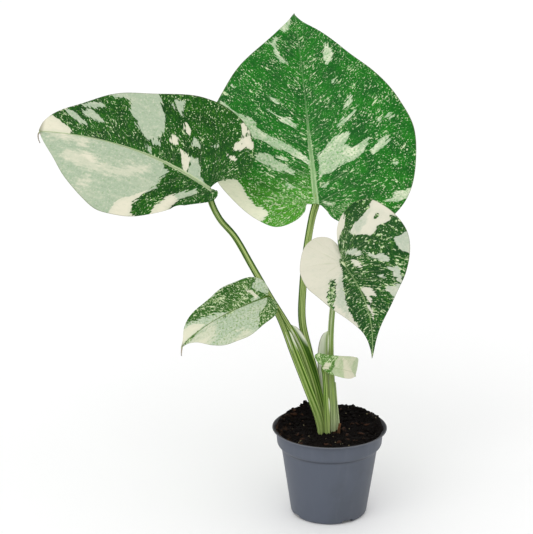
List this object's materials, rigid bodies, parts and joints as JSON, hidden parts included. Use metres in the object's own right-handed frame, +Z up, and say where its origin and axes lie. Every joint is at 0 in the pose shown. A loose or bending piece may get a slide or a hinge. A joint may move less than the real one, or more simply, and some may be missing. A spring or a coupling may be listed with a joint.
{
  "type": "potted thai constellation monstera",
  "caption": "Young variegated monstera with cream-marbled heart-shaped leaves on sheathed stalks, growing in a soil-filled tapered nursery pot.",
  "frame": {"origin": "middle of the pot's flat base, on the surface that it stands on", "axes": "+Z up the plant, -Y towards the side that the leaves face, -X towards the side of the two leaves on the left"},
  "size_m": [0.3838, 0.3367, 0.5028],
  "materials": {
    "pot": "satin",
    "soil": "matte",
    "stem": "matte",
    "petiole": "satin",
    "petiole_pale": "satin",
    "dry_sheath": "matte",
    "blade_green": "satin",
    "blade_dark": "satin",
    "blade_pale": "satin"
  },
  "bodies": {
    "root": {"pot": "pot", "soil": "soil", "stem": "stem", "petiole_top": "petiole", "petiole_left": "petiole", "petiole_low_left": "petiole", "petiole_right": "petiole_pale", "petiole_tiny": "petiole", "outer_sheath": "petiole", "dry_sheath": "dry_sheath", "blade_top": "blade_green", "blade_left": "blade_dark", "blade_low_left": "blade_pale", "blade_right": "blade_dark", "blade_tiny": "blade_pale"}
  },
  "joints": []
}
